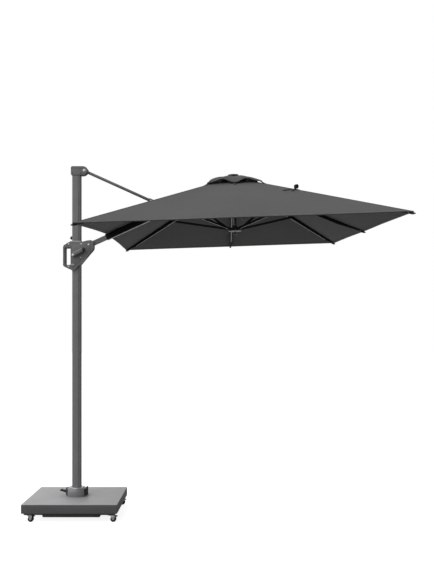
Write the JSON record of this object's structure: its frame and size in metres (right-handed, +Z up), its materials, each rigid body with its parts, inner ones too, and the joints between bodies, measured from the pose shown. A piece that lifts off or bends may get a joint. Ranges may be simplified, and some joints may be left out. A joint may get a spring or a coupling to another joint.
{
  "type": "cantilever parasol",
  "caption": "Rectangular cantilever parasol on an offset mast, with folding arm, strut, ribs, vented canopy and a weighted slab base on swivel casters.",
  "frame": {"origin": "on the floor, under the middle of the whole parasol", "axes": "+Z up, +X from the mast towards the outer rim of the canopy, +Y along the long side of the canopy, away from the crank side"},
  "size_m": [2.5405, 2.9955, 2.63],
  "materials": {
    "stone": "fine granite, sealed",
    "tray": "powder coat",
    "black_steel": "black powder coat",
    "zinc": "bright zinc",
    "collar": "grey powder coat",
    "bolts": "bright",
    "black_plastic": "moulded",
    "tyre": "hard rubber",
    "mast_paint": "grey powder coat",
    "housing": "moulded grey",
    "trim": "light grey",
    "arm_paint": "grey powder coat",
    "black_tube": "black powder coat",
    "fabric": "woven polyester",
    "webbing": "woven webbing"
  },
  "bodies": {
    "base": {"slab": "stone", "frame_long": "black_steel", "frame_cross": "black_steel", "tray": "tray", "caster_plates": "zinc", "collar": "collar", "collar_bolts": "bolts", "collar_lug": "black_plastic"},
    "caster_nl": {"fork_nl": "zinc"},
    "roller_nl": {"wheel_nl": "tyre"},
    "tab_nl": {"brake_nl": "black_plastic"},
    "caster_nr": {"fork_nr": "zinc"},
    "roller_nr": {"wheel_nr": "tyre"},
    "tab_nr": {"brake_nr": "black_plastic"},
    "caster_fl": {"fork_fl": "zinc"},
    "roller_fl": {"wheel_fl": "tyre"},
    "tab_fl": {"brake_fl": "black_plastic"},
    "caster_fr": {"fork_fr": "zinc"},
    "roller_fr": {"wheel_fr": "tyre"},
    "tab_fr": {"brake_fr": "black_plastic"},
    "foot_pedal": {"pedal": "black_plastic"},
    "mast": {"mast_socket": "zinc", "mast_tube": "mast_paint", "mast_rail": "black_plastic", "mast_head": "housing", "head_bolt": "bolts"},
    "lock_button": {"stop_knob": "black_plastic"},
    "carriage": {"carriage_front": "housing", "carriage_back": "housing", "carriage_bolts": "bolts", "carriage_rim": "trim"},
    "crank": {"crank_arm": "housing"},
    "crank_grip": {"crank_knob": "black_plastic"},
    "arm": {"arm_tube": "arm_paint", "arm_sleeve": "black_tube", "arm_rail": "black_tube"},
    "strut": {"strut_tube": "arm_paint", "strut_fork": "black_steel"},
    "crown": {"crown_hub": "black_plastic", "crown_cap": "fabric", "canopy_skin": "fabric", "canopy_vent": "fabric", "closing_strap": "webbing"},
    "runner": {"runner_hub": "black_plastic", "runner_pull": "trim"},
    "rib_out": {"rib_out": "black_tube"},
    "rib_near": {"rib_near": "black_tube"},
    "rib_far": {"rib_far": "black_tube"},
    "rib_near_out": {"rib_near_out": "black_tube"},
    "rib_far_out": {"rib_far_out": "black_tube"},
    "rib_near_in": {"rib_near_in": "black_tube"},
    "rib_far_in": {"rib_far_in": "black_tube"},
    "bar_out": {"bar_out": "black_tube"},
    "bar_near": {"bar_near": "black_tube"},
    "bar_far": {"bar_far": "black_tube"},
    "bar_near_out": {"bar_near_out": "black_tube"},
    "bar_far_out": {"bar_far_out": "black_tube"},
    "bar_near_in": {"bar_near_in": "black_tube"},
    "bar_far_in": {"bar_far_in": "black_tube"},
    "bar_arm": {"bar_arm": "black_tube"}
  },
  "joints": [
    {"name": "swivel_nl", "type": "hinge", "parent": "base", "child": "caster_nl", "pos_m": [-1.224, -0.323, 0.048], "axis": [0, 0, 1], "continuous": true},
    {"name": "spin_nl", "type": "hinge", "parent": "caster_nl", "child": "roller_nl", "pos_m": [-1.209, -0.323, 0.021], "axis": [0, 1, 0], "continuous": true},
    {"name": "brake_nl", "type": "hinge", "parent": "caster_nl", "child": "tab_nl", "pos_m": [-1.2, -0.323, 0.0442], "axis": [0, 1, 0], "range_deg": [0, 8]},
    {"name": "swivel_nr", "type": "hinge", "parent": "base", "child": "caster_nr", "pos_m": [-0.626, -0.323, 0.048], "axis": [0, 0, 1], "continuous": true},
    {"name": "spin_nr", "type": "hinge", "parent": "caster_nr", "child": "roller_nr", "pos_m": [-0.611, -0.323, 0.021], "axis": [0, 1, 0], "continuous": true},
    {"name": "brake_nr", "type": "hinge", "parent": "caster_nr", "child": "tab_nr", "pos_m": [-0.602, -0.323, 0.0442], "axis": [0, 1, 0], "range_deg": [0, 8]},
    {"name": "swivel_fl", "type": "hinge", "parent": "base", "child": "caster_fl", "pos_m": [-1.224, 0.275, 0.048], "axis": [0, 0, 1], "continuous": true},
    {"name": "spin_fl", "type": "hinge", "parent": "caster_fl", "child": "roller_fl", "pos_m": [-1.209, 0.275, 0.021], "axis": [0, 1, 0], "continuous": true},
    {"name": "brake_fl", "type": "hinge", "parent": "caster_fl", "child": "tab_fl", "pos_m": [-1.2, 0.275, 0.0442], "axis": [0, 1, 0], "range_deg": [0, 8]},
    {"name": "swivel_fr", "type": "hinge", "parent": "base", "child": "caster_fr", "pos_m": [-0.626, 0.275, 0.048], "axis": [0, 0, 1], "continuous": true},
    {"name": "spin_fr", "type": "hinge", "parent": "caster_fr", "child": "roller_fr", "pos_m": [-0.611, 0.275, 0.021], "axis": [0, 1, 0], "continuous": true},
    {"name": "brake_fr", "type": "hinge", "parent": "caster_fr", "child": "tab_fr", "pos_m": [-0.602, 0.275, 0.0442], "axis": [0, 1, 0], "range_deg": [0, 8]},
    {"name": "pedal_press", "type": "hinge", "parent": "base", "child": "foot_pedal", "pos_m": [-1.001, -0.024, 0.159], "axis": [0, -1, 0], "range_deg": [0, 12], "stiffness_Nm_per_rad": 6, "springref_deg": -2.86},
    {"name": "mast_turn", "type": "hinge", "parent": "base", "child": "mast", "pos_m": [-0.925, -0.024, 0.15], "axis": [0, 0, 1], "continuous": true},
    {"name": "stop_press", "type": "slide", "parent": "mast", "child": "lock_button", "axis": [1, 0, 0], "range_m": [0, 0.01], "stiffness_N_per_m": 300},
    {"name": "carriage_slide", "type": "slide", "parent": "mast", "child": "carriage", "axis": [0, 0, 1], "range_m": [-0.75, 0], "deforming": ["canopy_skin", "canopy_vent", "closing_strap"]},
    {"name": "crank_turn", "type": "hinge", "parent": "carriage", "child": "crank", "pos_m": [-0.945, -0.085, 1.955], "axis": [0, 1, 0], "range_deg": [0, 2160.01]},
    {"name": "grip_spin", "type": "hinge", "parent": "crank", "child": "crank_grip", "pos_m": [-0.86317, -0.104, 1.99705], "axis": [0, 1, 0], "continuous": true},
    {"name": "arm_fold", "type": "hinge", "parent": "carriage", "child": "arm", "pos_m": [-0.83, -0.024, 2.035], "axis": [0, -1, 0], "range_deg": [0, 50.77]},
    {"name": "strut_fold", "type": "hinge", "parent": "mast", "child": "strut", "pos_m": [-0.8645, -0.024, 2.599], "axis": [0, 1, 0], "range_deg": [0, 48.8]},
    {"name": "crown_fold", "type": "hinge", "parent": "arm", "child": "crown", "pos_m": [0.185, -0.024, 2.4968], "axis": [0, 1, 0], "range_deg": [0, 50.77]},
    {"name": "runner_slide", "type": "slide", "parent": "crown", "child": "runner", "axis": [0.034, 0.0558, -0.9979], "range_m": [0, 0.29201]},
    {"name": "rib_out_fold", "type": "hinge", "parent": "crown", "child": "rib_out", "pos_m": [0.34108, -0.02215, 2.49953], "axis": [-0.0019, 0.9984, 0.0558], "range_deg": [0, 63.2]},
    {"name": "rib_near_fold", "type": "hinge", "parent": "crown", "child": "rib_near", "pos_m": [0.26588, -0.09767, 2.50406], "axis": [0.9994, 0, 0.034], "range_deg": [0, 70.8]},
    {"name": "rib_far_fold", "type": "hinge", "parent": "crown", "child": "rib_far", "pos_m": [0.2656, 0.0521, 2.51243], "axis": [-0.9994, 0, -0.034], "range_deg": [0, 70.8]},
    {"name": "rib_near_out_fold", "type": "hinge", "parent": "crown", "child": "rib_near_out", "pos_m": [0.30697, -0.08552, 2.50974], "axis": [0.8336, 0.5492, 0.0591], "range_deg": [0, 73.37]},
    {"name": "rib_far_out_fold", "type": "hinge", "parent": "crown", "child": "rib_far_out", "pos_m": [0.30673, 0.03955, 2.51673], "axis": [-0.8357, 0.5492, 0.0023], "range_deg": [0, 73.37]},
    {"name": "rib_near_in_fold", "type": "hinge", "parent": "crown", "child": "rib_near_in", "pos_m": [0.22451, -0.08552, 2.50693], "axis": [0.8357, -0.5492, -0.0023], "range_deg": [0, 73.37]},
    {"name": "rib_far_in_fold", "type": "hinge", "parent": "crown", "child": "rib_far_in", "pos_m": [0.22427, 0.03955, 2.51392], "axis": [-0.8336, -0.5492, -0.0591], "range_deg": [0, 73.37]},
    {"name": "bar_out_fold", "type": "hinge", "parent": "runner", "child": "bar_out", "pos_m": [0.31764, -0.01522, 2.15949], "axis": [0.0019, -0.9984, -0.0558], "range_deg": [0, 43.14]},
    {"name": "bar_near_fold", "type": "hinge", "parent": "runner", "child": "bar_near", "pos_m": [0.26572, -0.04317, 2.15616], "axis": [-0.9994, 0, -0.034], "range_deg": [0, 37.66]},
    {"name": "bar_far_fold", "type": "hinge", "parent": "runner", "child": "bar_far", "pos_m": [0.28956, 0.0367, 2.16143], "axis": [0.9994, 0, 0.034], "range_deg": [0, 37.66]},
    {"name": "bar_near_out_fold", "type": "hinge", "parent": "runner", "child": "bar_near_out", "pos_m": [0.28969, -0.04318, 2.15697], "axis": [0.8336, 0.5492, 0.0591], "range_deg": [0, 91.97]},
    {"name": "bar_far_out_fold", "type": "hinge", "parent": "runner", "child": "bar_far_out", "pos_m": [0.30959, 0.02353, 2.16138], "axis": [-0.8357, 0.5492, 0.0023], "range_deg": [0, 91.97]},
    {"name": "bar_near_in_fold", "type": "hinge", "parent": "runner", "child": "bar_near_in", "pos_m": [0.24568, -0.03, 2.15621], "axis": [0.8357, -0.5492, -0.0023], "range_deg": [0, 91.97]},
    {"name": "bar_far_in_fold", "type": "hinge", "parent": "runner", "child": "bar_far_in", "pos_m": [0.26559, 0.03671, 2.16062], "axis": [-0.8336, -0.5492, -0.0591], "range_deg": [0, 91.97]},
    {"name": "bar_arm_fold", "type": "hinge", "parent": "runner", "child": "bar_arm", "pos_m": [0.23761, 0.02272, 2.15889], "axis": [-0.0019, 0.9984, 0.0558], "range_deg": [0, 33.73]}
  ],
  "couplings": [
    {"joint": "crank_turn", "follows": "carriage_slide", "rad_per_m": -50.265},
    {"joint": "arm_fold", "follows": "carriage_slide", "rad_per_m": -1.1812},
    {"joint": "strut_fold", "follows": "carriage_slide", "rad_per_m": -1.1355},
    {"joint": "crown_fold", "follows": "carriage_slide", "rad_per_m": -1.1812},
    {"joint": "runner_slide", "follows": "carriage_slide", "ratio": -0.38933},
    {"joint": "rib_out_fold", "follows": "carriage_slide", "rad_per_m": -1.4705},
    {"joint": "rib_near_fold", "follows": "carriage_slide", "rad_per_m": -1.6474},
    {"joint": "rib_far_fold", "follows": "carriage_slide", "rad_per_m": -1.6474},
    {"joint": "rib_near_out_fold", "follows": "carriage_slide", "rad_per_m": -1.7071},
    {"joint": "rib_far_out_fold", "follows": "carriage_slide", "rad_per_m": -1.7071},
    {"joint": "rib_near_in_fold", "follows": "carriage_slide", "rad_per_m": -1.7071},
    {"joint": "rib_far_in_fold", "follows": "carriage_slide", "rad_per_m": -1.7071},
    {"joint": "bar_out_fold", "follows": "carriage_slide", "rad_per_m": -1.0036},
    {"joint": "bar_near_fold", "follows": "carriage_slide", "rad_per_m": -0.87621},
    {"joint": "bar_far_fold", "follows": "carriage_slide", "rad_per_m": -0.87621},
    {"joint": "bar_near_out_fold", "follows": "carriage_slide", "rad_per_m": -2.1399},
    {"joint": "bar_far_out_fold", "follows": "carriage_slide", "rad_per_m": -2.1399},
    {"joint": "bar_near_in_fold", "follows": "carriage_slide", "rad_per_m": -2.1399},
    {"joint": "bar_far_in_fold", "follows": "carriage_slide", "rad_per_m": -2.1399},
    {"joint": "bar_arm_fold", "follows": "carriage_slide", "rad_per_m": -0.7848}
  ]
}
